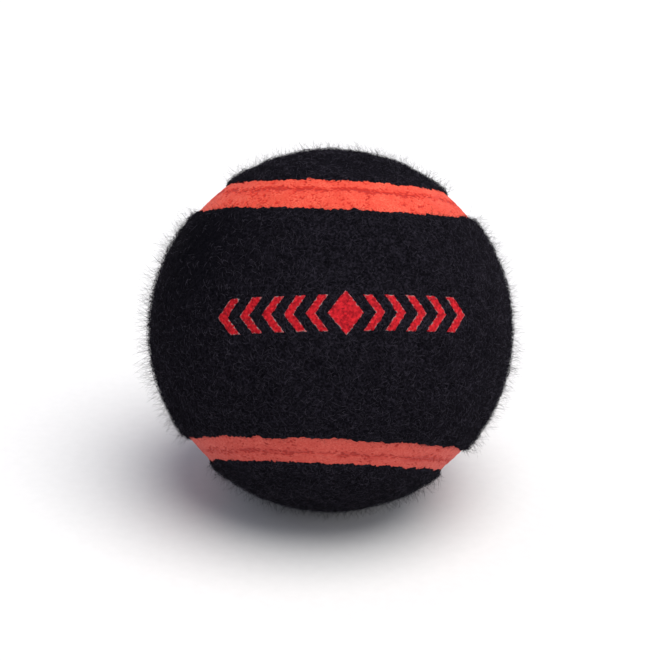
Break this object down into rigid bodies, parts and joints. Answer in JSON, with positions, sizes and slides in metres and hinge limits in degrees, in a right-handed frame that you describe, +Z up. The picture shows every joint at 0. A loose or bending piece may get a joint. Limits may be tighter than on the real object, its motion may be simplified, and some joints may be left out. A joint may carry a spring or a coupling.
{
  "type": "felt-covered play ball",
  "caption": "Hollow rubber ball covered in napped felt dogbone panels with a raised rubber seam between them and a printed chevron band on the waist.",
  "frame": {"origin": "centre of the ball, 33.4 mm above the ground it lies on", "axes": "+Z up from the ground, -Y towards the printed waist, which faces 25.2 degrees above the level, and X along the front panel's length"},
  "size_m": [0.0668, 0.0668, 0.0668],
  "materials": {
    "felt": "matte",
    "seam_rubber": "matte",
    "print_film": "satin",
    "cement": "satin",
    "core_rubber": "matte"
  },
  "bodies": {
    "root": {"felt_panel_front": "felt", "felt_panel_back": "felt", "seam_bead_front": "seam_rubber", "seam_bead_back": "seam_rubber", "transfer_print": "print_film", "cover_cement": "cement", "core_joint_cement": "cement", "core_half_upper": "core_rubber", "core_half_lower": "core_rubber"}
  },
  "joints": []
}
